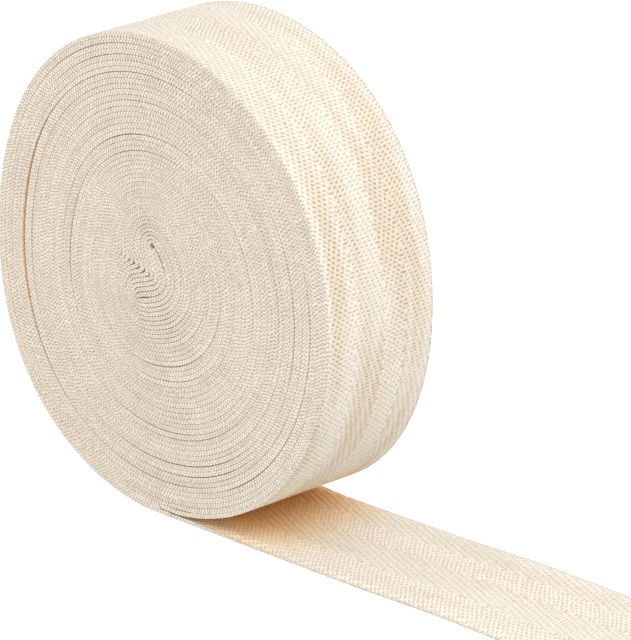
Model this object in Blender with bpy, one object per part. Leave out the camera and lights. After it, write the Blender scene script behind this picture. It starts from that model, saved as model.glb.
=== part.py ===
"""Roll of cotton herringbone twill tape, standing on its edge, with its loose end drawn out.

Metres, +Z up. The roll's axis runs along Y and one face of the winding looks towards -Y. The
tape leaves the underside of the roll and lies along the surface towards +X. The origin is on
the small flat that the roll rests on, under its axis.
"""
import math

import bmesh
import bpy
from mathutils import Vector

# The tape
TAPE_WIDTH = 0.0381
TAPE_THICK = 0.0012
EDGE_ROUND = 0.0005

# The roll
ROLL_RADIUS = 0.06015
FLAT_HALF = 0.0064
LEVEL_WITHIN = 20
LEAVE_X = 0.004
PIECE_GAP = 0.0003
TURN_STEP = 0.0017
SEGMENTS = 60
STEPPED_RINGS = 2

# The loose end, which drifts towards +Y and has one low ripple
LOOSE_REACH = 0.140
LOOSE_DRIFT = 0.0235
LOOSE_STATIONS = 28
RIPPLE_AT = 0.092
RIPPLE_HALF = 0.030
RIPPLE_HEIGHT = 0.0005

# How far the outer turn is from round, as shares of its radius.
# The angle runs from under the axis towards +X.
LOBES = [
    # lobes, cosine, sine
    (2, 0.0255, 0.0204),
    (3, -0.0010, 0.0086),
    (4, -0.0064, 0.0033),
]

# How much further out the rim at -Y stands than the rim at +Y, in mm
FRONT_LEAD = [
    # lobes, cosine, sine
    (1, 0.43, 0.67),
    (2, -0.12, -1.45),
    (3, -0.31, -0.99),
]

# The collapsed core: the tape's inner end is folded double along this line, and the turns
# around it keep a kink on its hollow side. Millimetres from the axis.
CORE_FOLD = [
    # across, up
    (-0.5, 8.5),
    (1.9, 5.6),
    (3.6, 2.1),
    (3.6, -0.7),
    (1.6, -3.2),
    (-2.0, -4.7),
    (-5.8, -5.8),
]
CORE_MIDDLE = CORE_FOLD[3]
CORE_STEP = 2.2
CORE_STEPS = 6
CORE_HEART = 1.1
CORE_DEPTH = 1.3
CORE_FADE = 16.0
HALVINGS = 20

# Parting lines between bundles of turns. Places are shares of the way from the core's middle to
# the outline, towards the four sides. Then come the half width in mm, the depth in mm at the
# four sides, and how far in mm the bundle inside the line is set back.
PARTING_LINES = [
    # right, top, left, bottom, half width, depth right, top, left, bottom, set back
    (0.930, 0.945, 0.968, 0.945, 0.50, 0.5, 0.6, 0.5, 0.3, 0.15),
    (0.873, 0.892, 0.914, 0.905, 0.60, 0.5, 0.8, 1.3, 0.4, 0.10),
    (0.795, 0.844, 0.818, 0.843, 0.90, 0.5, 0.6, 3.0, 0.8, -0.05),
    (0.712, 0.736, 0.760, 0.767, 0.60, 0.4, 0.7, 0.4, 0.8, 0.15),
    (0.638, 0.662, 0.681, 0.627, 0.60, 0.4, 0.5, 0.6, 1.0, -0.05),
    (0.536, 0.584, 0.555, 0.428, 0.70, 0.9, 1.1, 1.0, 1.0, 0.15),
    (0.461, 0.530, 0.498, 0.375, 0.60, 0.4, 0.8, 0.5, 0.8, 0.05),
]

MM = 0.001
COTTON_WOUND = (0.73, 0.64, 0.52, 1.0)
COTTON_FLAT = (0.84, 0.76, 0.64, 1.0)
COTTON_ROUGHNESS = 0.9
SHARP_ANGLE = 55


def clear_scene():
    for old in list(bpy.data.objects):
        bpy.data.objects.remove(old, do_unlink=True)


def cotton(name, colour):
    """Matt natural cotton."""
    material = bpy.data.materials.new(name)
    material.use_nodes = True
    shader = material.node_tree.nodes["Principled BSDF"]
    shader.inputs["Base Color"].default_value = colour
    shader.inputs["Roughness"].default_value = COTTON_ROUGHNESS
    shader.inputs["Metallic"].default_value = 0.0
    return material


def add_solid(name, material, points, faces):
    """One closed mesh object with its faces pointing out."""
    shape = bmesh.new()
    corners = [shape.verts.new(point) for point in points]
    for face in faces:
        shape.faces.new([corners[index] for index in face])
    bmesh.ops.recalc_face_normals(shape, faces=shape.faces[:])
    mesh = bpy.data.meshes.new(name)
    shape.to_mesh(mesh)
    shape.free()
    mesh.shade_smooth()
    mesh.set_sharp_from_angle(angle=math.radians(SHARP_ANGLE))
    mesh.materials.append(material)
    solid = bpy.data.objects.new(name, mesh)
    bpy.context.scene.collection.objects.link(solid)
    return solid


def waves(lobes, angle):
    return sum(c * math.cos(n * angle) + s * math.sin(n * angle) for n, c, s in lobes)


def round_radius(angle, front):
    """Radius of a rim before the flat, at -Y with front = 1 and at +Y with front = 0.

    The angle runs from under the axis towards +X.
    """
    return ROLL_RADIUS * (1.0 + waves(LOBES, angle)) + front * waves(FRONT_LEAD, angle) * MM


def turn_radius(wound, front):
    """Radius of the outer turn after it has wound this far, clockwise seen from -Y."""
    return round_radius(-wound, front) + TURN_STEP * (0.5 - wound / math.tau)


AXIS_HEIGHT = math.sqrt(turn_radius(0.0, 0) ** 2 - FLAT_HALF ** 2)


def wound_angles():
    """From the foot of the step along the flat, then round evenly to the head of the step."""
    foot = -math.atan2(LEAVE_X, AXIS_HEIGHT)
    flat_end = math.atan2(FLAT_HALF, AXIS_HEIGHT)
    sweep = foot + math.tau - flat_end
    rest = SEGMENTS - 2
    return [foot, 0.0] + [flat_end + sweep * step / rest for step in range(rest + 1)]


def outline(front):
    """Radius of a rim at each wound angle, cut level where the roll rests, also on the loose end."""
    radii = []
    for wound in wound_angles():
        radius = turn_radius(wound, front)
        if wound < math.radians(LEVEL_WITHIN):
            radius = min(radius, AXIS_HEIGHT / math.cos(wound))
        elif wound > math.tau - math.radians(LEVEL_WITHIN):
            radius = min(radius, (AXIS_HEIGHT - TAPE_THICK - PIECE_GAP) / math.cos(wound))
        radii.append(radius)
    return radii


def by_side(right, top, left, bottom, angle):
    """A smooth value round the roll that takes the four given values at its four sides."""
    mean = (right + top + left + bottom) / 4
    tilt = (right - left) / 2 * math.cos(angle) + (top - bottom) / 2 * math.sin(angle)
    return mean + tilt + (right + left - top - bottom) / 4 * math.cos(2 * angle)


def distance_to_fold(spot):
    """Distance in mm from a place on the face to the line of the folded core."""
    nearest = math.inf
    for start, end in zip(CORE_FOLD, CORE_FOLD[1:]):
        start = Vector(start)
        run = Vector(end) - start
        along = max(0.0, min(1.0, (spot - start).dot(run) / run.length_squared))
        nearest = min(nearest, (spot - start - run * along).length)
    return nearest


def spot_at_distance(middle, run, distance):
    """The place along a column that is this far from the folded core."""
    near = 0.0
    far = 1.0
    for _ in range(HALVINGS):
        share = (near + far) / 2
        if distance_to_fold(middle + run * share) < distance:
            near = share
        else:
            far = share
    return middle + run * near


def core_rings():
    """Distance from the folded core and depth in mm, crest and furrow in turn."""
    rings = []
    for step in range(CORE_STEPS, 0, -1):
        distance = step * CORE_STEP
        furrow = CORE_DEPTH * math.exp(-((distance / CORE_FADE) ** 2)) if step % 2 == 0 else 0.0
        rings.append((distance, furrow))
    return rings + [(CORE_HEART, CORE_DEPTH)]


def face_column(wound, radius, front):
    """The face from rim to core as (place from the axis, depth behind the rim), in mm."""
    outward = Vector((-math.sin(wound), -math.cos(wound)))
    column = [(outward * radius / MM, EDGE_ROUND / MM)]
    column.append((outward * (radius - EDGE_ROUND) / MM, 0.0))
    middle = Vector(CORE_MIDDLE)
    run = outward * round_radius(-wound, front) / MM - middle
    angle = math.atan2(run.y, run.x)
    level = 0.0
    for *place, half, right, top, left, bottom, back in PARTING_LINES:
        line = middle + run * by_side(*place, angle)
        aside = run.normalized() * half
        column.append((line + aside, level))
        column.append((line, level + by_side(right, top, left, bottom, angle)))
        level += back
        column.append((line - aside, level))
    for distance, furrow in core_rings():
        column.append((spot_at_distance(middle, run, distance), level + furrow))
    column.append((middle, level + CORE_DEPTH))
    return column


def wound_roll(material):
    """The wound tape as one solid, with a step under it where the outer turn leaves."""
    head = len(wound_angles()) - 1
    points = []
    faces = []

    def add_ring(members, ring, side):
        first = len(points)
        for column in members:
            place, depth = column[ring]
            out = side * (TAPE_WIDTH / 2 - depth * MM)
            points.append((place.x * MM, out, AXIS_HEIGHT + place.y * MM))
        return list(range(first, len(points)))

    edges = {}
    for side, front in ((-1, 1), (1, 0)):
        columns = [face_column(wound, radius, front) for wound, radius in zip(wound_angles(), outline(front))]
        stepped = [add_ring(columns, ring, side) for ring in range(STEPPED_RINGS)]
        inner_rings = range(STEPPED_RINGS, len(columns[0]) - 1)
        closed = [add_ring(columns[:head], ring, side) for ring in inner_rings]
        heart = add_ring(columns[:1], -1, side)[0]
        rings = stepped + closed
        for outer, inner in zip(rings, rings[1:]):
            for step in range(head):
                after = (step + 1) % len(outer)
                faces.append((outer[step], outer[after], inner[(step + 1) % len(inner)], inner[step]))
        for step in range(head):
            faces.append((closed[-1][step], closed[-1][(step + 1) % head], heart))
        edge, shoulder = stepped
        faces.append((shoulder[head], shoulder[0], closed[0][0]))
        faces.append((edge[head], edge[0], shoulder[0], shoulder[head]))
        edges[side] = edge
    for step in range(head + 1):
        after = (step + 1) % (head + 1)
        faces.append((edges[-1][step], edges[-1][after], edges[1][after], edges[1][step]))
    return add_solid("wound_roll", material, points, faces)


def ripple(along):
    """Height of the loose end's low ripple."""
    away = min(1.0, abs(along - RIPPLE_AT) / RIPPLE_HALF)
    return RIPPLE_HEIGHT * math.cos(away * math.pi / 2) ** 2


def loose_end(material):
    """The free length of tape as a thin sheet with rounded selvedges, cut square."""
    half = TAPE_WIDTH / 2
    section = [
        # across, up
        (-half, TAPE_THICK / 2),
        (EDGE_ROUND - half, 0.0),
        (half - EDGE_ROUND, 0.0),
        (half, TAPE_THICK / 2),
        (half - EDGE_ROUND, TAPE_THICK),
        (EDGE_ROUND - half, TAPE_THICK),
    ]
    start = LEAVE_X + PIECE_GAP
    points = []
    faces = []
    corners = len(section)
    for station in range(LOOSE_STATIONS + 1):
        along = start + (LOOSE_REACH - start) * station / LOOSE_STATIONS
        drift = LOOSE_DRIFT * (along - start)
        lift = ripple(along)
        points += [(along, across + drift, up + lift) for across, up in section]
    for station in range(LOOSE_STATIONS):
        near = station * corners
        far = near + corners
        for corner in range(corners):
            after = (corner + 1) % corners
            faces.append((near + corner, near + after, far + after, far + corner))
    faces.append(tuple(range(corners)))
    faces.append(tuple(range(LOOSE_STATIONS * corners, (LOOSE_STATIONS + 1) * corners)))
    return add_solid("loose_end", material, points, faces)


def main():
    clear_scene()
    wound_roll(cotton("cotton_wound", COTTON_WOUND))
    loose_end(cotton("cotton_flat", COTTON_FLAT))


main()
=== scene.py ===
import math

import bpy
import numpy as np
from mathutils import Matrix, Vector, kdtree


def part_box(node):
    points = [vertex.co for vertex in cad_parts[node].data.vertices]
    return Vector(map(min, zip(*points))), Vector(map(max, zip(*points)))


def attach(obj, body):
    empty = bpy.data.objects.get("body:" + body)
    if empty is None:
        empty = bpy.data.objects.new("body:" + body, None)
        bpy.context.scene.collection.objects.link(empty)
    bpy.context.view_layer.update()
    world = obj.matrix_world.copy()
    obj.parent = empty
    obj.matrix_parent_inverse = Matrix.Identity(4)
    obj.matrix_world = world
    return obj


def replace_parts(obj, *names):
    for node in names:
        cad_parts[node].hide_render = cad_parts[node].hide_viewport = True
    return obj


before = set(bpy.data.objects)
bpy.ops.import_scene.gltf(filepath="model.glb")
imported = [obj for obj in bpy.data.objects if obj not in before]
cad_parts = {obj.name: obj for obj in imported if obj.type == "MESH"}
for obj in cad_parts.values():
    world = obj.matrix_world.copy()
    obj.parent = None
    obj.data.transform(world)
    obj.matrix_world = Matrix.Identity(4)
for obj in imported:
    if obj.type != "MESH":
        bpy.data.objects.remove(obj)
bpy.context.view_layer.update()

# One length of twill tape, from its free end, under the roll and round it to the folded core.
# Places in the plane of a face are (across, up) in millimetres from the roll's axis, seen from -Y.
MM = 0.001

# The tape
roll_low, roll_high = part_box("wound_roll")
TAPE_WIDTH = (roll_high.y - roll_low.y) / MM
HALF_WIDTH = TAPE_WIDTH / 2
TAPE_THICK = 1.2
EDGE_ROUND = 0.38

# The weave: herringbone in stripes, each of so many ends
STRIPES = [23, 24, 17, 23]
END_PITCH = TAPE_WIDTH / sum(STRIPES)
PICK_PITCH = TAPE_WIDTH / 38
WEAVE_DEPTH = 0.10

# The rounded selvedge, two rows of thread with a furrow: how far its corners stand back from the edge,
# and how far out they are as a share of half the thickness
SELVEDGE = [
    # back, out
    (0.05, 0.97),
    (0.0, 0.55),
    (0.08, 0.0),
    (0.0, -0.55),
    (0.05, -0.97),
]

# Where a side of the section has its corners, from the edge at -Y to the edge at +Y: a plain side near its
# two edges, and a woven side over the middle of each end
PLAIN_SIDE = [EDGE_ROUND - HALF_WIDTH, HALF_WIDTH - EDGE_ROUND]
WOVEN_SIDE = [(end + 0.5) * END_PITCH - HALF_WIDTH for end in range(sum(STRIPES))]

# The roll's outline. The angle runs from under the axis towards +X.
ROLL_RADIUS = 60.15
LOBES = [
    # lobes, cosine, sine
    (2, 0.0255, 0.0204),
    (3, -0.0010, 0.0086),
    (4, -0.0064, 0.0033),
]
OUTLINE_POINTS = 721

# How much further out the rim at -Y stands than the rim at +Y
FRONT_LEAD = [
    # lobes, cosine, sine
    (1, 0.43, 0.67),
    (2, -0.12, -1.45),
    (3, -0.31, -0.99),
]

# The outer turn. It rests on a small flat, and at its end on the loose end.
FLAT_HALF = 6.4
LEVEL_WITHIN = math.radians(20)
LEAVE_X = 4.0
REST_ON_TAPE = 1.5
CAD_STEP = 1.7
TURN_STEP = 1.3
RIM_POINTS = 2000

# The winding. Depth is counted in millimetres of tape from the core outwards, and turns from the outer
# turn inwards.
TURN_PITCH = 1.2
FULL_DEPTH = 53.7
START_DEPTH = FULL_DEPTH * (1 - (TURN_STEP + TAPE_THICK) / 2 / ROLL_RADIUS)
SETTLED = 1.2
LAST_DEPTH = 0.3
LEAST_SLOPE = 0.3
LEVEL_PASSES = 2
STEP = 1.5
CORE_STEP = 0.4
CORE_STEP_DEPTH = 12.0

# The folded core, with the slit that is left at the start of its fold
CORE_FOLD = [(-0.5, 8.5), (1.9, 5.6), (3.5, 2.1), (3.6, -0.8), (1.6, -3.3), (-2.0, -4.8), (-5.8, -5.9)]
CORE_MIDDLE = (3.6, -0.7)
CORE_ROUND = 0.7
CORE_REACH = 12.0
SLIT_FROM = 0.02
SLIT_TO = 0.36
SLIT_HALF = 0.25

# The grid of depths, and the shares of the outline between which the core's shape gives way to the rim's
GRID_STEP = 0.25
GRID_HALF = 64.0
DEPTH_BAND = 1.0
BLEND_FROM = 0.12
BLEND_TO = 0.60

# Where a bundle of turns sits further back: depth of tape as a share of the whole, and by how much.
# It steps back over this part of a turn to each side.
SET_BACKS = [
    # share, back
    (0.957, 0.15),
    (0.910, 0.10),
    (0.838, -0.05),
    (0.755, 0.15),
    (0.662, -0.05),
    (0.534, 0.15),
    (0.473, 0.05),
]
SET_BACK_OVER = 0.2

# Gaps between neighbouring turns: the direction from the axis in degrees, from +X towards up,
# the place as a share of the outline, how far the gap reaches each way, its width in mm,
# and how much painted warm shade, for the light between the turns, the turns get there
GAPS = [
    # direction, place, half sweep, width, painted warmth
    (182, 0.839, 75, 1.15, 0.5),
    (182, 0.804, 45, 0.31, 0.55),
    (187, 0.955, 55, 0.36, 0.6),
    (167, 0.914, 25, 0.27, 0.55),
    (162, 0.885, 25, 0.22, 0.45),
    (207, 0.921, 35, 0.20, 0.45),
    (181, 0.526, 70, 0.34, 0.35),
    (152, 0.579, 40, 0.22, 0.35),
    (97, 0.582, 45, 0.13, 0.35),
    (87, 0.533, 40, 0.14, 0.35),
    (23, 0.567, 50, 0.31, 0.35),
    (267, 0.430, 60, 0.24, 0.35),
    (261, 0.450, 50, 0.20, 0.35),
    (274, 0.370, 50, 0.24, 0.35),
    (262, 0.624, 45, 0.20, 0.45),
    (268, 0.638, 45, 0.15, 0.45),
    (275, 0.656, 45, 0.22, 0.45),
    (272, 0.762, 50, 0.27, 0.55),
    (262, 0.854, 50, 0.22, 0.55),
    (285, 0.819, 40, 0.15, 0.45),
    (2, 0.729, 45, 0.22, 0.35),
    (7, 0.808, 50, 0.31, 0.35),
    (-3, 0.884, 45, 0.31, 0.35),
    (315, 0.883, 35, 0.22, 0.45),
    (92, 0.846, 45, 0.11, 0.45),
    (82, 0.879, 40, 0.11, 0.45),
    (100, 0.917, 40, 0.11, 0.55),
    (106, 0.958, 40, 0.11, 0.55),
    (80, 0.730, 45, 0.11, 0.45),
]
# The least painted warm shade between any two turns
LEAST_PAINTED_WARMTH = 0.3

# Over how many turns the moving apart fades
GAP_REACH = 4.0

# How thick a turn may be, where there is room, and what is left free between it and its neighbours
WOUND_THICK = 1.45
CORE_THICK = 1.55
LEAST_HALF = TAPE_THICK / 5
CLEARANCE = 0.004
CORE_CLEARANCE = 0.05

# How far off a neighbouring turn is looked for, and how far to one side of a place it may lie
NEIGHBOUR_REACH = 2.4
BESIDE = 0.6 * STEP

# Stations at the end of the outer turn that the second turn carries on from, and so isn't pushed off by
CARRIED_ON = 4

# The turns between which the tape stops leaning on the turn outside it
LEANS_TO = 2.0
EVEN_FROM = 2.3

# How the edges of the turns stray along the axis: how far, how often, and the turns over which it begins
STRAY = 0.065
STRAYS_PER_TURN = 7
SLOWER_STRAY = 5
STRAY_FROM = 1.0
STRAY_TO = 1.4
SEED = 4

# The loose end: its drift towards +Y, its ripple, its edges, which thin out clear of the roll, and the
# painted light that makes it lighter there
loose_low, loose_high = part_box("loose_end")
LOOSE_REACH = loose_high.x / MM
LOOSE_DRIFT = 0.0235
RIPPLE_AT = 92.0
RIPPLE_HALF = 30.0
RIPPLE_HEIGHT = 0.5
THIN_FROM = 12.0
THIN_TO = 30.0
THIN_REACH = 2.2
THIN_SHARE = 0.65
LOOSE_PAINTED_LIGHT = 2.5

# Painted warm shade in the wedge between the roll and the loose end: where it fades along X, how high it
# reaches, and how far in from the edge at -Y it is whole
SHADE_FROM = 12.0
SHADE_TO = 52.0
SHADE_LOW = 2.0
SHADE_HIGH = 27.0
SHADE_INSIDE = 10.0

# Corners of the plain section that lie further out than this share face the next turn and take the painted
# warm shade between the turns
FACING_TURN = 0.98


def smooth_curve(points, steps=8):
    """A curve through the points, as many more points."""
    ends = np.array([points[0], *points, points[-1]], float)
    curve = []
    for before, start, end, after in zip(ends, ends[1:], ends[2:], ends[3:]):
        for share in np.arange(steps) / steps:
            bend = 2 * before - 5 * start + 4 * end - after
            swing = 3 * (start - end) + after - before
            curve.append(start + ((end - before) * share + bend * share**2 + swing * share**3) / 2)
    return np.array(curve + [ends[-1]])


def smooth_step(value, start, end):
    """The value eased from 0 at start to 1 at end."""
    share = np.clip((value - start) / (end - start), 0, 1)
    return share * share * (3 - 2 * share)


def arc_lengths(places):
    """How far along a path each of its places is."""
    steps = np.hypot(*np.diff(places, axis=0).T)
    return np.concatenate([[0.0], np.cumsum(steps)])


def even_steps(places, step):
    """The path again with stations at an even step."""
    lengths = arc_lengths(places)
    count = max(2, round(lengths[-1] / step) + 1)
    wanted = np.linspace(0, lengths[-1], count)
    return np.stack([np.interp(wanted, lengths, places[:, axis]) for axis in (0, 1)], 1)


def outward_of(places):
    """Unit normals of a path, on the outer side of the tape."""
    run = np.gradient(places, axis=0)
    run /= np.hypot(run[:, 0], run[:, 1])[:, None]
    return np.stack([-run[:, 1], run[:, 0]], 1)


def waves(lobes, angle):
    """The sum of these waves round the roll."""
    return sum(cosine * np.cos(n * angle) + sine * np.sin(n * angle) for n, cosine, sine in lobes)


def round_radius(angle, front=0.5):
    """Radius of the outline before the flat, from the rim at +Y, 0, to the rim at -Y, 1."""
    return ROLL_RADIUS * (1 + waves(LOBES, angle)) + front * waves(FRONT_LEAD, angle)


def turn_radius(wound, front):
    """Radius of the outer turn after it has wound this far, clockwise seen from -Y."""
    return round_radius(-wound, front) + TURN_STEP * (0.5 - wound / math.tau)


# The axis is as high as the flat under it leaves it
AXIS_HEIGHT = math.sqrt((round_radius(0.0, 0) + CAD_STEP / 2) ** 2 - FLAT_HALF**2)


def fold_distance(across, up):
    """Distance from each place to the line of the folded core, or to the slit that is left in it."""
    nearest = np.full(across.shape, np.inf)
    curve = smooth_curve(CORE_FOLD)
    shares = arc_lengths(curve) / arc_lengths(curve)[-1]
    for start, run, before, after in zip(curve, np.diff(curve, axis=0), shares, shares[1:]):
        along = ((across - start[0]) * run[0] + (up - start[1]) * run[1]) / (run @ run)
        along = np.clip(along, 0, 1)
        away = np.hypot(across - start[0] - along * run[0], up - start[1] - along * run[1])
        slit = np.clip((before + (after - before) * along - SLIT_FROM) / (SLIT_TO - SLIT_FROM), 0, 1)
        nearest = np.minimum(nearest, away - SLIT_HALF * np.sin(slit * math.pi) ** 2)
    return np.maximum(nearest, 0)


def share_of_outline(across, up):
    """How far each place is from the core's middle, as a share of the way to the outline."""
    turned = np.linspace(0, math.tau, OUTLINE_POINTS)
    rim_across = round_radius(turned) * np.sin(turned) - CORE_MIDDLE[0]
    rim_up = -round_radius(turned) * np.cos(turned) - CORE_MIDDLE[1]
    direction = np.unwrap(np.arctan2(rim_up, rim_across))
    angle = np.arctan2(up - CORE_MIDDLE[1], across - CORE_MIDDLE[0])
    around = direction[0] + (angle - direction[0]) % math.tau
    whole = np.interp(around, direction, np.hypot(rim_across, rim_up))
    return np.hypot(across - CORE_MIDDLE[0], up - CORE_MIDDLE[1]) / whole


def blurred(field, reach):
    """The field averaged over this reach in millimetres."""
    cells = int(3 * reach / GRID_STEP)
    offsets = np.arange(-cells, cells + 1) * GRID_STEP
    weights = np.exp(-((offsets / reach) ** 2) / 2)
    weights /= weights.sum()
    for axis in (0, 1):
        padded = np.pad(field, [(cells, cells) if axis == side else (0, 0) for side in (0, 1)], "edge")
        length = field.shape[axis]
        field = sum(
            weight * padded.take(range(first, first + length), axis)
            for first, weight in enumerate(weights)
        )
    return field


class DepthField:
    """Depth of tape over the face: the distance from the folded core, rounding out to the rim."""

    def __init__(self):
        line = np.arange(-GRID_HALF, GRID_HALF + GRID_STEP / 2, GRID_STEP)
        across, up = np.meshgrid(line, line, indexing="ij")
        folded = fold_distance(across, up)
        share = share_of_outline(across, up)
        roundness = smooth_step(share, BLEND_FROM, BLEND_TO)
        depth = (1 - roundness) * folded + roundness * share * FULL_DEPTH
        soft = smooth_step(folded, CORE_ROUND, 4 * CORE_ROUND)
        self.depth = (1 - soft) * depth + soft * blurred(depth, CORE_ROUND)
        self.slope = np.stack(np.gradient(self.depth, GRID_STEP), -1)
        self.steepness = np.hypot(self.slope[..., 0], self.slope[..., 1])

    def perimeters(self):
        """Depths and how far round the roll is at each."""
        edges = np.arange(0, FULL_DEPTH + DEPTH_BAND, DEPTH_BAND)
        area, _ = np.histogram(self.depth, edges, weights=self.steepness * GRID_STEP**2)
        return (edges[1:] + edges[:-1]) / 2, area / DEPTH_BAND

    def at(self, place):
        """Depth and slope at one place."""
        spot = (np.asarray(place) + GRID_HALF) / GRID_STEP
        column, row = (int(cell) for cell in spot)
        right, above = spot[0] - column, spot[1] - row
        corners = [
            (column, row, (1 - right) * (1 - above)),
            (column + 1, row, right * (1 - above)),
            (column, row + 1, (1 - right) * above),
            (column + 1, row + 1, right * above),
        ]
        depth = sum(weight * self.depth[i, j] for i, j, weight in corners)
        slope = sum(weight * self.slope[i, j] for i, j, weight in corners)
        return depth, slope


def along_level(slope):
    """Unit direction along the turns, clockwise seen from -Y."""
    return np.array([slope[1], -slope[0]]) / np.hypot(*slope)


def trace_turns(field, place):
    """The middle of the tape from the second turn to the core, with the number of turns wound."""
    depths, perimeters = field.perimeters()
    first = depth = field.at(place)[0]
    turn = 1.0
    places, turns = [], []
    while depth > LAST_DEPTH:
        places.append(place)
        turns.append(turn)
        step = CORE_STEP if depth < CORE_STEP_DEPTH else STEP
        halfway = place + along_level(field.at(place)[1]) * step / 2
        place = place + along_level(field.at(halfway)[1]) * step
        turn += step / np.interp(depth, depths, perimeters)
        depth = first - TURN_PITCH * (turn - 1) + (START_DEPTH - first) * smooth_step(turn, 1, SETTLED)
        for _ in range(LEVEL_PASSES):
            found, slope = field.at(place)
            place = place - slope * (found - depth) / max(slope @ slope, LEAST_SLOPE)
    return np.array(places), np.array(turns)


def wound_share(places):
    """How far round each place is, from under the axis, clockwise seen from -Y, as a share of a turn."""
    return (np.arctan2(-places[:, 0], -places[:, 1]) / math.tau) % 1.0


def open_gaps(field, places, turns):
    """Moves neighbouring turns apart where the roll shows gaps, and says how much painted warm shade each
    station gets.
    """
    around = wound_share(places)
    laps = np.round(turns - around)
    shift = np.zeros(len(places))
    painted_warmth = np.full(len(places), LEAST_PAINTED_WARMTH)
    for direction, place, half_sweep, width, warm in GAPS:
        angle = math.radians(direction)
        away = place * round_radius(angle + math.pi / 2)
        centre = np.array([[math.cos(angle), math.sin(angle)]]) * away
        centre_share = wound_share(centre)[0]
        turn = 1 + (START_DEPTH - field.at(centre[0])[0]) / TURN_PITCH
        boundary = centre_share + round(turn - centre_share - 0.5) + 0.5
        aside = (around - centre_share + 0.5) % 1.0 - 0.5
        inward = around + laps - boundary - aside
        open_share = np.cos(np.clip(np.abs(aside) * 360 / half_sweep, 0, 1) * math.pi / 2) ** 2
        fade = np.exp(-np.maximum(np.abs(inward) - 0.5, 0) / GAP_REACH)
        shift -= np.sign(inward) * width / 2 * open_share * fade
        painted_warmth = np.maximum(painted_warmth, warm * open_share * (np.abs(inward) < 1))
    return places + outward_of(places) * shift[:, None], painted_warmth


def room_beside(places, outward, outer_places):
    """How far half the tape may reach to the outer and to the inner side of each station.

    That is halfway to another turn, and all the way to the inside of the outer turn.
    """
    lengths = arc_lengths(places)
    everything = np.concatenate([places, outer_places])
    tree = kdtree.KDTree(len(everything))
    for index, (across, up) in enumerate(everything):
        tree.insert((across, up, 0), index)
    tree.balance()
    room = np.full((len(places), 2), CORE_THICK)
    for index, (place, normal) in enumerate(zip(places, outward)):
        for found, other, _ in tree.find_range((*place, 0), NEIGHBOUR_REACH):
            in_outer = other >= len(places)
            if not in_outer and abs(lengths[other] - lengths[index]) < 2 * NEIGHBOUR_REACH:
                continue
            away = (found.x - place[0]) * normal[0] + (found.y - place[1]) * normal[1]
            aside = abs((found.x - place[0]) * normal[1] - (found.y - place[1]) * normal[0])
            if aside < BESIDE:
                side = 0 if away > 0 else 1
                free = abs(away) - TAPE_THICK / 2 if in_outer else abs(away) / 2
                room[index, side] = min(room[index, side], free)
    return room


def fitted(places, turns, outer_places):
    """The stations moved and half the tape's thickness there, so that neighbouring turns just meet.

    The second turn and the folds of the core, which have more room on one side, lie against the turn
    outside them.
    """
    outward = outward_of(places)
    room = room_beside(places, outward, outer_places)
    even = np.minimum(room.min(1), WOUND_THICK / 2)
    filled = np.minimum(room.sum(1), CORE_THICK) / 2
    away = np.hypot(*(places - CORE_MIDDLE).T)
    in_core = 1 - smooth_step(away, CORE_REACH / 2, CORE_REACH)
    leaning = np.maximum(in_core, 1 - smooth_step(turns, LEANS_TO, EVEN_FROM))
    halves = even + leaning * (filled - even)
    moved = places + outward * (leaning * (room[:, 0] - filled))[:, None]
    past_core = smooth_step(away, CORE_REACH / 2, 2 * CORE_REACH)
    clearance = CORE_CLEARANCE + (CLEARANCE - CORE_CLEARANCE) * past_core
    return moved, np.maximum(halves - clearance, LEAST_HALF)


def strays(turns, seed):
    """A random line along the turns, mostly within 1 either way."""
    dice = np.random.default_rng(seed)
    knots = np.arange(0, turns.max() + 2, 1 / STRAYS_PER_TURN)
    return np.interp(turns, knots, dice.normal(0, 1, len(knots)))


class Tape:
    """A stretch of tape as stations along its middle, with lengths counted from the free end.

    Its lead is how much further out its edge at -Y stands than its edge at +Y. It also has half its
    thickness, its shift along Y, its tone (random on the inner turns, painted light on the loose end), how
    thin its edges are and how much painted warm shade lies beside it.
    """

    def __init__(self, places, start_length):
        count = len(places)
        self.places = places
        self.outward = outward_of(places)
        self.lengths = start_length + arc_lengths(places)
        self.leads = np.zeros(places.shape)
        self.halves = np.full(count, TAPE_THICK / 2)
        self.shifts = np.zeros(count)
        self.tones_and_painted_light = np.zeros(count)
        self.thins = np.zeros(count)
        self.painted_warmth = np.full(count, LEAST_PAINTED_WARMTH)


def loose_tape():
    """The loose end, from its cut end to where it meets the roll."""
    count = round((LOOSE_REACH - LEAVE_X) / (PICK_PITCH / 2)) + 1
    station = np.linspace(LOOSE_REACH, LEAVE_X, count)
    from_crest = np.clip(np.abs(station - RIPPLE_AT) / RIPPLE_HALF, 0, 1)
    ripple = RIPPLE_HEIGHT * np.cos(from_crest * math.pi / 2) ** 2
    tape = Tape(np.stack([station, TAPE_THICK / 2 + ripple - AXIS_HEIGHT], 1), 0.0)
    tape.shifts = LOOSE_DRIFT * (station - LEAVE_X)
    tape.thins = smooth_step(station, THIN_FROM, THIN_TO)
    # Painted light: the loose end is lighter clear of the roll's shade
    tape.tones_and_painted_light = LOOSE_PAINTED_LIGHT * tape.thins
    return tape


def outer_middle(front):
    """The middle of the outer turn's thickness at one rim, resting on the ground and on the loose end."""
    wound = np.linspace(-math.atan2(LEAVE_X, AXIS_HEIGHT), math.tau, RIM_POINTS)
    radius = turn_radius(wound, front)
    rests = [
        (np.abs(wound) < LEVEL_WITHIN, AXIS_HEIGHT),
        (wound > math.tau - LEVEL_WITHIN, AXIS_HEIGHT - REST_ON_TAPE),
    ]
    for level, height in rests:
        radius[level] = np.minimum(radius[level], height / np.cos(wound[level]))
    rim = np.stack([-radius * np.sin(wound), -radius * np.cos(wound)], 1)
    return rim - outward_of(rim) * TAPE_THICK / 2


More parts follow.
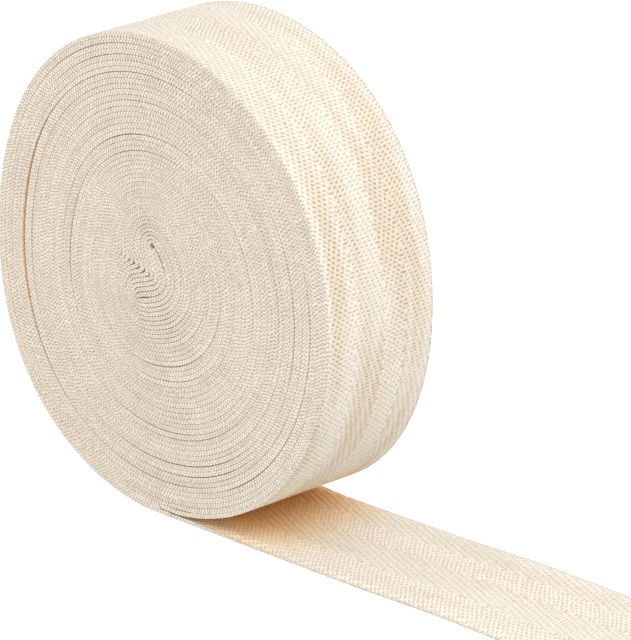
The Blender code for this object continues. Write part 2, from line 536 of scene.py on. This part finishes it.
def outer_tape(start_length):
    """The outer turn, from where the loose end leaves to the start of the second turn."""
    front, back = outer_middle(1), outer_middle(0)
    middle = (front + back) / 2
    tape = Tape(even_steps(middle, PICK_PITCH / 2), start_length)
    lengths = arc_lengths(middle)
    wanted = np.linspace(0, lengths[-1], len(tape.places))
    tape.leads = np.stack([np.interp(wanted, lengths, (front - back)[:, axis]) for axis in (0, 1)], 1)
    return tape


def edge_shifts(turns):
    """How far each station of the inner turns is shifted along Y."""
    shifts = STRAY * (strays(turns, SEED) + strays(turns / SLOWER_STRAY, SEED + 1))
    for share, back in SET_BACKS:
        line = 1 + (START_DEPTH - FULL_DEPTH * share) / TURN_PITCH
        shifts += back * smooth_step(turns, line - SET_BACK_OVER, line + SET_BACK_OVER)
    return shifts * smooth_step(turns, STRAY_FROM, STRAY_TO)


def inner_tape(outer):
    """All the turns inside the outer one."""
    field = DepthField()
    places, turns = trace_turns(field, outer.places[-1])
    places, painted_warmth = open_gaps(field, places, turns)
    places, halves = fitted(places, turns, outer.places[:-CARRIED_ON])
    tape = Tape(places, outer.lengths[-1])
    tape.painted_warmth = painted_warmth
    tape.halves = halves
    tape.shifts = edge_shifts(turns)
    tape.tones_and_painted_light = strays(turns, SEED + 2)
    away = np.hypot(places[:, 0], places[:, 1])
    angle = np.arctan2(places[:, 0], -places[:, 1])
    share = np.clip(away / round_radius(angle), 0, 1)
    tape.leads = places / away[:, None] * (share * waves(FRONT_LEAD, angle))[:, None]
    return tape


def selvedge(facing):
    """The corners of the section's edge at -Y, facing -1, or at +Y, facing 1."""
    return [(facing * (HALF_WIDTH - back), facing * out, 0) for back, out in SELVEDGE]


def side_corners(columns, side):
    """The corners of the section's outer side, 1, or its inner side, -1."""
    woven = int(len(columns) > len(PLAIN_SIDE))
    corners = []
    for across in columns:
        inset = max(0.0, abs(across) - HALF_WIDTH + EDGE_ROUND) / EDGE_ROUND
        corners.append((across, side * math.sqrt(1 - inset**2), woven))
    return corners


def section(outer, inner):
    """The tape's section as rows of (across, out share, woven), once round from the edge at -Y."""
    return np.array(selvedge(-1) + side_corners(outer, 1) + selvedge(1) + side_corners(inner[::-1], -1))


def zigzag(end):
    """How many picks the twill line has moved at each end: it turns back at each stripe's edge."""
    moved = 0.0
    edge = 0
    for index, width in enumerate(STRIPES):
        direction = -1 if index % 2 == 0 else 1
        moved = moved + direction * np.clip(end - edge, 0, width)
        edge += width
    return moved


def strip_points(tape, ring, end, pick):
    """Every corner of the section at every station, in millimetres from the frame's origin."""
    across, out, woven = ring.T
    side = np.sign(out)
    wave = np.cos(math.pi / 2 * (pick[:, None] - zigzag(end)[None, :])) * side * woven
    near_edge = 1 - smooth_step(HALF_WIDTH - np.abs(across), 0, THIN_REACH)
    thin = THIN_SHARE * tape.thins[:, None] * near_edge[None, :]
    distance = tape.halves[:, None] * (out + thin * (1 - out)) + side * WEAVE_DEPTH * (wave - woven)
    plane = tape.places[:, None, :] + tape.outward[:, None, :] * distance[..., None]
    plane -= tape.leads[:, None, :] * (across / TAPE_WIDTH)[None, :, None]
    points = np.empty((*distance.shape, 3))
    points[..., 0] = plane[..., 0]
    points[..., 1] = across[None, :] + tape.shifts[:, None]
    points[..., 2] = plane[..., 1] + AXIS_HEIGHT
    return points


def strip_faces(count, corners):
    """Quads from each section to the next, and then a cap on the first section and on the last."""
    station = np.arange(count - 1)[:, None] * corners
    near = station + np.arange(corners)[None, :]
    after = station + (np.arange(corners)[None, :] + 1) % corners
    quads = np.stack([near, near + corners, after + corners, after], -1).reshape(-1, 4)
    last = (count - 1) * corners
    return quads.tolist() + [list(range(corners)), list(range(last + corners - 1, last - 1, -1))]


def painted_wedge_shade(points, across):
    """How much painted warm shade each point gets, from 0 to 1, by how deep it sits in the wedge between
    the roll and the loose end.
    """
    away = smooth_step(points[..., 0], SHADE_FROM, SHADE_TO)
    low = 1 - smooth_step(points[..., 2], SHADE_LOW, SHADE_HIGH)
    ahead = smooth_step(points[..., 0], -LEAVE_X, LEAVE_X)
    inside = smooth_step(across + HALF_WIDTH, -SHADE_INSIDE / 2, SHADE_INSIDE)
    return (1 - away) * low * ahead * inside


def set_attribute(mesh, name, kind, values):
    """Gives every point of the mesh a value, or a vector, that its material reads."""
    attribute = mesh.attributes.new(name, kind, "POINT")
    field = "vector" if kind == "FLOAT_VECTOR" else "value"
    attribute.data.foreach_set(field, values.reshape(-1).astype(np.float32))


def new_object(name, data):
    """A new object in the scene."""
    made = bpy.data.objects.new(name, data)
    bpy.context.scene.collection.objects.link(made)
    return made


def tape_mesh(name, tape, outer, inner, material):
    """A closed strip of tape along its stations, with its coordinates in the weave."""
    ring = section(outer, inner)
    across, out, woven = ring.T
    end = (across + HALF_WIDTH) / END_PITCH
    pick = tape.lengths / PICK_PITCH
    points = strip_points(tape, ring, end, pick)
    mesh = bpy.data.meshes.new(name)
    mesh.from_pydata((points.reshape(-1, 3) * MM).tolist(), [], strip_faces(len(pick), len(ring)))
    mesh.shade_smooth()
    for cap in mesh.polygons[-2:]:
        cap.use_smooth = False
    weave = np.stack(np.broadcast_arrays(end[None, :], pick[:, None], out[None, :]), -1)
    # Painted warm shade between the turns, on the plain sides that face the next turn
    between = tape.painted_warmth[:, None] * ((np.abs(out) > FACING_TURN) & (woven == 0))[None, :]
    set_attribute(mesh, "weave", "FLOAT_VECTOR", weave)
    set_attribute(mesh, "tone_and_painted_light", "FLOAT", np.repeat(tape.tones_and_painted_light, len(ring)))
    # The shade attribute is painted shade: the larger of the wedge's, on the woven sides, and the shade
    # between the turns
    set_attribute(mesh, "painted_shade", "FLOAT", np.maximum(painted_wedge_shade(points, across) * woven, between))
    mesh.materials.append(material)
    piece = new_object(name, mesh)
    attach(piece, "root")
    return piece


class Wiring:
    """Short calls for the nodes of one material."""

    def __init__(self, tree):
        self.tree = tree

    def node(self, kind, **settings):
        made = self.tree.nodes.new(kind)
        for name, value in settings.items():
            setattr(made, name, value)
        return made

    def feed(self, socket, value):
        if isinstance(value, bpy.types.NodeSocket):
            self.tree.links.new(value, socket)
        else:
            socket.default_value = value

    def feed_in_order(self, node, *values):
        """Feeds the node's first sockets, and returns what it gives."""
        for socket, value in zip(node.inputs, values):
            self.feed(socket, value)
        return node.outputs[0]

    def maths(self, operation, *values):
        return self.feed_in_order(self.node("ShaderNodeMath", operation=operation), *values)

    def ramp(self, value, start, end, low=0.0, high=1.0):
        """The value eased from low at start to high at end."""
        made = self.node("ShaderNodeMapRange", interpolation_type="SMOOTHSTEP")
        return self.feed_in_order(made, value, start, end, low, high)

    def vector(self, *parts):
        return self.feed_in_order(self.node("ShaderNodeCombineXYZ"), *parts)

    def grey(self, lightness):
        made = self.node("ShaderNodeCombineColor")
        return self.feed_in_order(made, lightness, lightness, lightness)

    def parts(self, vector):
        """The three parts of a vector."""
        made = self.node("ShaderNodeSeparateXYZ")
        self.feed(made.inputs[0], vector)
        return made.outputs

    def mix(self, share, first, second, blend="MIX"):
        """One colour mixed with another."""
        made = self.node("ShaderNodeMix", data_type="RGBA", blend_type=blend)
        for index, value in ((0, share), (6, first), (7, second)):
            self.feed(made.inputs[index], value)
        return made.outputs[2]

    def mix_heights(self, share, first, second):
        made = self.node("ShaderNodeMix", data_type="FLOAT")
        for index, value in ((0, share), (2, first), (3, second)):
            self.feed(made.inputs[index], value)
        return made.outputs[0]

    def noise(self, place, scale, detail, output="Fac"):
        made = self.node("ShaderNodeTexNoise")
        for name, value in (("Vector", place), ("Scale", scale), ("Detail", detail)):
            self.feed(made.inputs[name], value)
        return made.outputs[output]

    def attribute(self, name, output="Fac"):
        return self.node("ShaderNodeAttribute", attribute_name=name).outputs[output]

    def object_place(self):
        return self.node("ShaderNodeTexCoord").outputs["Object"]


# The cotton's threads where it is firm and where it is loose, as linear colours; the loose colour also
# serves as painted shade on the roll's side towards +X
COTTON = (0.725, 0.665, 0.575, 1.0)
COTTON_DULL = (0.67, 0.58, 0.455, 1.0)

# Painted shade in the furrows between its threads, firm and loose
FURROW_PAINTED_SHADE = (0.43, 0.355, 0.265, 1.0)
LOOSE_FURROW_PAINTED_SHADE = (0.26, 0.165, 0.075, 1.0)

# Painted warm shade: its threads and its furrows where the tape shades itself and light bounces between
# its sides
COTTON_PAINTED_SHADE = (1.0, 0.64, 0.25, 1.0)
COTTON_PAINTED_SHADE_LOW = (0.84, 0.36, 0.07, 1.0)

# The tints of the edges and the faces, and how the surface shines
EDGE_TINT = (1.0, 0.975, 0.965, 1.0)
FACE_TINT = (0.96, 0.96, 0.967, 1.0)
ROUGHNESS = 0.92
SHEEN = 0.10
SHEEN_ROUGHNESS = 0.6

# Share of half the thickness where the selvedge's beads end and where the face's threads begin
EDGE_UNTIL = 0.955
FACE_FROM = 0.995

# How high the threads stand, in millimetres
WARP_RISE = 0.11
WARP_ROUND = 0.05
WEFT_RISE = 0.04
WEFT_ROUND = 0.15
WEFT_SINK = 0.11
FIBRE_RISE = 0.07

# The selvedge's beads: how high they stand, in millimetres, the least share of that and how much each
# bead varies, how pointed they are, and by what part of a pick the two rows are moved
BEAD_RISE = 0.33
BEAD_SINK = 0.12
BEAD_LEAST = 0.5
BEAD_VARIATION = 0.7
BEAD_POWER = 0.7
BEAD_STAGGER = 0.25

# The heights between which the colour goes from the furrows' painted shade to the threads'
LOW_HEIGHT = -0.09
HIGH_HEIGHT = 0.06

# How the threads sway: how fine, per metre, and how far, in ends and in picks
SWAYS = [
    # scale, ends, picks
    (90.0, 1.6, 1.6),
    (700.0, 0.7, 0.7),
]
SWAY_DETAIL = 1.0

# Where the tape's surface is looser its threads show duller and its furrows' painted shade darker: how
# fine, per metre, across and along
PATCH_ACROSS = 170.0
PATCH_ALONG = 14.0
PATCH_DETAIL = 3.0
PATCH_FROM = 0.42
PATCH_TO = 0.66

# It gets looser along the tape, between these lengths from the free end, in millimetres, which puts the
# most on the roll's side towards +X: partly looser cotton, partly painted shade on that side. How loose it
# is at the first and at the second, and what share of that its edges have
LOOSER_AND_SHADED_FROM = 330.0
LOOSER_AND_SHADED_TO = 430.0
LEAST_LOOSE = 0.45
MOST_LOOSE_AND_SHADED = 1.4
EDGE_LOOSE = 0.3

# Noises in the cotton: how fine, per metre, and how much detail
MOTTLE_NOISE = (160.0, 4.0)
SPECKLE_NOISE = (2300.0, 2.0)
FIBRE_NOISE = (5200.0, 3.0)

# How much the cotton varies, as shares of its lightness
MOTTLE = 0.10
SPECKLE = 0.56
THREAD_VARIATION = 0.08
# Scales the tone attribute: random tone along the inner turns, and painted light on the loose end
TONE_AND_PAINTED_LIGHT = 0.02


class Weave:
    """The weave's coordinates in a material, and its heights in millimetres."""

    def __init__(self, wires, place):
        self.wires = wires
        self.even_end, self.even_pick, self.side = wires.parts(wires.attribute("weave", "Vector"))
        self.face = wires.maths("SIGN", self.side)
        self.end, self.pick = self.even_end, self.even_pick
        for scale, end_sway, pick_sway in SWAYS:
            aside, along, _ = wires.parts(wires.noise(place, scale, SWAY_DETAIL, "Color"))
            self.end = self.swayed(self.end, aside, end_sway)
            self.pick = self.swayed(self.pick, along, pick_sway)

    def swayed(self, place, noise, reach):
        maths = self.wires.maths
        return maths("MULTIPLY_ADD", maths("SUBTRACT", noise, 0.5), reach, place)

    def moved(self, place):
        """How many picks the twill line has moved at this end."""
        maths = self.wires.maths
        total = 0.0
        edge = 0
        for index, width in enumerate(STRIPES):
            part = maths("MINIMUM", maths("MAXIMUM", maths("SUBTRACT", place, edge), 0.0), width)
            total = maths("SUBTRACT" if index % 2 == 0 else "ADD", total, part)
            edge += width
        return total

    def wave(self, along, offset):
        """Up where the warp floats over two picks and down where it dives under two."""
        maths = self.wires.maths
        phase = maths("MULTIPLY", maths("SUBTRACT", along, offset), math.pi / 2)
        return maths("MULTIPLY", maths("COSINE", phase), self.face)

    def rounded(self, place):
        """Round over one thread: 1 over its middle and 0 at its edges."""
        maths = self.wires.maths
        middle = maths("SUBTRACT", maths("MULTIPLY", maths("FRACT", place), 2.0), 1.0)
        return maths("SUBTRACT", 1.0, maths("MULTIPLY", middle, middle))

    def centred(self, place):
        """The middle of the thread at this place."""
        return self.wires.maths("ADD", self.wires.maths("FLOOR", place), 0.5)

    def staggered(self):
        """The picks, moved one way on the outer side of the tape and the other way on the inner."""
        return self.wires.maths("MULTIPLY_ADD", self.face, BEAD_STAGGER, self.pick)

    def chance(self):
        """A random value from 0 to 1 for each thread's float or bead."""
        wires = self.wires
        end, pick = wires.maths("FLOOR", self.end), wires.maths("FLOOR", self.staggered())
        dice = wires.node("ShaderNodeTexWhiteNoise", noise_dimensions="3D")
        wires.feed(dice.inputs["Vector"], wires.vector(end, pick, self.face))
        return dice.outputs["Value"]

    def threads(self):
        """Height of the threads on the two sides of the tape."""
        maths = self.wires.maths
        warp = maths("MULTIPLY", self.wave(self.pick, self.moved(self.centred(self.end))), WARP_RISE)
        warp = maths("MULTIPLY_ADD", self.rounded(self.end), WARP_ROUND, warp)
        weft = maths("MULTIPLY", self.wave(self.centred(self.pick), self.moved(self.end)), -WEFT_RISE)
        weft = maths("MULTIPLY_ADD", self.rounded(self.pick), WEFT_ROUND, weft)
        return maths("MAXIMUM", warp, maths("SUBTRACT", weft, WEFT_SINK))

    def beads(self, chance):
        """Height of the weft's turns along the selvedge, in two rows."""
        maths = self.wires.maths
        along = maths("MULTIPLY", self.staggered(), math.pi)
        bead = maths("POWER", maths("ABSOLUTE", maths("SINE", along)), BEAD_POWER)
        rise = maths("MULTIPLY", maths("MULTIPLY_ADD", chance, BEAD_VARIATION, BEAD_LEAST), BEAD_RISE)
        return maths("MULTIPLY_ADD", bead, rise, -BEAD_SINK)

    def looseness_and_side_shade(self, on_face):
        """How loose the surface is: in patches, more so further along the tape, and less on its edges.
        What grows along the tape falls on the roll's side towards +X and is partly painted shade there.
        """
        maths = self.wires.maths
        across = maths("MULTIPLY", self.even_end, PATCH_ACROSS * END_PITCH * MM)
        along = maths("MULTIPLY", self.even_pick, PATCH_ALONG * PICK_PITCH * MM)
        patches = self.wires.noise(self.wires.vector(across, along), 1.0, PATCH_DETAIL)
        patch = self.wires.ramp(patches, PATCH_FROM, PATCH_TO)
        start, end = LOOSER_AND_SHADED_FROM / PICK_PITCH, LOOSER_AND_SHADED_TO / PICK_PITCH
        further = self.wires.ramp(self.even_pick, start, end, LEAST_LOOSE, MOST_LOOSE_AND_SHADED)
        share = maths("MULTIPLY_ADD", on_face, 1 - EDGE_LOOSE, EDGE_LOOSE)
        return maths("MULTIPLY", patch, maths("MULTIPLY", further, share))


def new_material(name):
    """A new material, with its wiring and its shader."""
    material = bpy.data.materials.new(name)
    material.use_nodes = True
    return material, Wiring(material.node_tree), material.node_tree.nodes["Principled BSDF"]


def cotton(name):
    """Natural cotton in herringbone twill, told by its place in the weave.

    It has painted warm shade where the tape shades itself, and painted shade in the furrows between its
    threads.
    """
    material, wires, shader = new_material(name)
    place = wires.object_place()
    weave = Weave(wires, place)
    chance = weave.chance()
    speckle = wires.noise(place, *SPECKLE_NOISE)

    on_face = wires.ramp(wires.maths("ABSOLUTE", weave.side), EDGE_UNTIL, FACE_FROM)
    height = wires.mix_heights(on_face, weave.beads(chance), weave.threads())
    rough = wires.maths("ADD", wires.noise(place, *FIBRE_NOISE), speckle)
    bump = wires.node("ShaderNodeBump")
    wires.feed(bump.inputs["Distance"], MM)
    wires.feed(bump.inputs["Strength"], 1.0)
    wires.feed(bump.inputs["Height"], wires.maths("MULTIPLY_ADD", rough, FIBRE_RISE, height))
    wires.feed(shader.inputs["Normal"], bump.outputs[0])

    # Painted shade, read from the mesh
    painted_shade = wires.attribute("painted_shade")
    # Looser patches, and painted shade on the roll's side towards +X
    loose = weave.looseness_and_side_shade(on_face)
    # The painted warm shade is mixed in by the shade attribute, over the furrows and over the threads
    low = wires.mix(painted_shade, wires.mix(loose, FURROW_PAINTED_SHADE, LOOSE_FURROW_PAINTED_SHADE), COTTON_PAINTED_SHADE_LOW)
    high = wires.mix(painted_shade, wires.mix(loose, COTTON, COTTON_DULL), COTTON_PAINTED_SHADE)
    # By height: painted shade in the furrows, the threads' colour over them
    base = wires.mix(wires.ramp(height, LOW_HEIGHT, HIGH_HEIGHT), low, high)
    tint = wires.mix(on_face, EDGE_TINT, FACE_TINT)
    base = wires.mix(1.0, base, tint, "MULTIPLY")

    # Random tone and painted light, read from the mesh
    light = wires.maths("MULTIPLY_ADD", wires.attribute("tone_and_painted_light"), TONE_AND_PAINTED_LIGHT, 1.0)
    mottle = wires.noise(place, *MOTTLE_NOISE)
    for varied, amount in ((mottle, MOTTLE), (speckle, SPECKLE), (chance, THREAD_VARIATION)):
        light = wires.maths("MULTIPLY_ADD", wires.maths("SUBTRACT", varied, 0.5), amount, light)
    wires.feed(shader.inputs["Base Color"], wires.mix(1.0, base, wires.grey(light), "MULTIPLY"))
    shader.inputs["Roughness"].default_value = ROUGHNESS
    shader.inputs["Sheen Weight"].default_value = SHEEN
    shader.inputs["Sheen Roughness"].default_value = SHEEN_ROUGHNESS
    return material


# The camera for the photograph: angles in degrees, its distance from the roll's axis in metres, and how
# far it is turned aside and down to frame the roll, as slopes
VIEW_AZIMUTH = 46.5
VIEW_ELEVATION = 19.0
VIEW_ROLL = -1.5
VIEW_DISTANCE = 0.7577
VIEW_TURN = 0.03484
VIEW_DIP = 0.01914
SENSOR = 36.0
IMAGE_LONG_SIDE = 640
FOCAL_PIXELS = 3064.1
CLIP_NEAR = 0.01
CLIP_FAR = 20.0


def camera():
    """The photograph's viewpoint: aimed at the roll's axis, then turned aside to frame it."""
    azimuth, elevation, roll = (math.radians(angle) for angle in (VIEW_AZIMUTH, VIEW_ELEVATION, VIEW_ROLL))
    back = Vector((
        math.sin(azimuth) * math.cos(elevation),
        -math.cos(azimuth) * math.cos(elevation),
        math.sin(elevation),
    ))
    level = Vector((math.cos(azimuth), math.sin(azimuth), 0))
    upright = back.cross(level)
    right = math.cos(roll) * level + math.sin(roll) * upright
    up = math.cos(roll) * upright - math.sin(roll) * level
    forward = (right * VIEW_TURN - up * VIEW_DIP - back).normalized()
    right = (right - right.dot(forward) * forward).normalized()
    up = right.cross(forward)
    data = bpy.data.cameras.new("camera")
    data.sensor_width = SENSOR
    data.lens = FOCAL_PIXELS / IMAGE_LONG_SIDE * SENSOR
    data.clip_start = CLIP_NEAR
    data.clip_end = CLIP_FAR
    seen = new_object("camera", data)
    place = Vector((0, 0, AXIS_HEIGHT * MM)) + back * VIEW_DISTANCE
    turned = Matrix((right, up, -forward)).transposed()
    seen.matrix_world = Matrix.Translation(place) @ turned.to_4x4()
    bpy.context.scene.camera = seen


# The studio, in metres
WHITE = (1.0, 1.0, 1.0, 1.0)
SURROUND = 1.02
KEY_PLACE = (0.48, -0.30, 0.80)
KEY_TARGET = (0, 0, 0.05)
KEY_SIZE = 0.6
KEY_WATTS = 4.8
FLOOR_REACH = 6.0
PAPER = ((0.38, 0.38, 0.38, 1.0), (0.42, 0.42, 0.42, 1.0))
PAPER_NOISE = (900.0, 2.0)
PAPER_ROUGHNESS = 0.95
PAPER_GLOW = 0.79


def key_light():
    """One large soft light, high on the camera's side."""
    data = bpy.data.lights.new("key", "AREA")
    data.shape = "DISK"
    data.size = KEY_SIZE
    data.energy = KEY_WATTS
    lamp = new_object("key", data)
    lamp.location = KEY_PLACE
    lamp.rotation_euler = (Vector(KEY_TARGET) - Vector(KEY_PLACE)).to_track_quat("-Z", "Y").to_euler()


def floor():
    """A sheet of pale paper, lit from below as on a light table."""
    mesh = bpy.data.meshes.new("floor")
    corners = [(FLOOR_REACH * x, FLOOR_REACH * y, 0) for x, y in ((-1, -1), (1, -1), (1, 1), (-1, 1))]
    mesh.from_pydata(corners, [], [(0, 1, 2, 3)])
    sheet = new_object("floor", mesh)
    material, wires, shader = new_material("paper")
    grain = wires.noise(wires.object_place(), *PAPER_NOISE)
    wires.feed(shader.inputs["Base Color"], wires.mix(grain, *PAPER))
    shader.inputs["Roughness"].default_value = PAPER_ROUGHNESS
    shader.inputs["Emission Color"].default_value = WHITE
    shader.inputs["Emission Strength"].default_value = PAPER_GLOW
    mesh.materials.append(material)


def studio():
    """A bright even surround, a pale floor and one large soft light."""
    scene = bpy.context.scene
    scene.view_settings.view_transform = "Standard"
    world = bpy.data.worlds.new("surround")
    scene.world = world
    world.use_nodes = True
    surround = world.node_tree.nodes["Background"]
    surround.inputs["Color"].default_value = WHITE
    surround.inputs["Strength"].default_value = SURROUND
    key_light()
    floor()


def main():
    material = cotton("twill")
    loose = loose_tape()
    outer = outer_tape(loose.lengths[-1])
    inner = inner_tape(outer)
    end_piece = tape_mesh("loose_tape", loose, PLAIN_SIDE, WOVEN_SIDE, material)
    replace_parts(end_piece, "loose_end")
    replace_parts(tape_mesh("outer_turn", outer, WOVEN_SIDE, PLAIN_SIDE, material), "wound_roll")
    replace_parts(tape_mesh("wound_turns", inner, PLAIN_SIDE, PLAIN_SIDE, material), "wound_roll")
    studio()
    camera()


main()
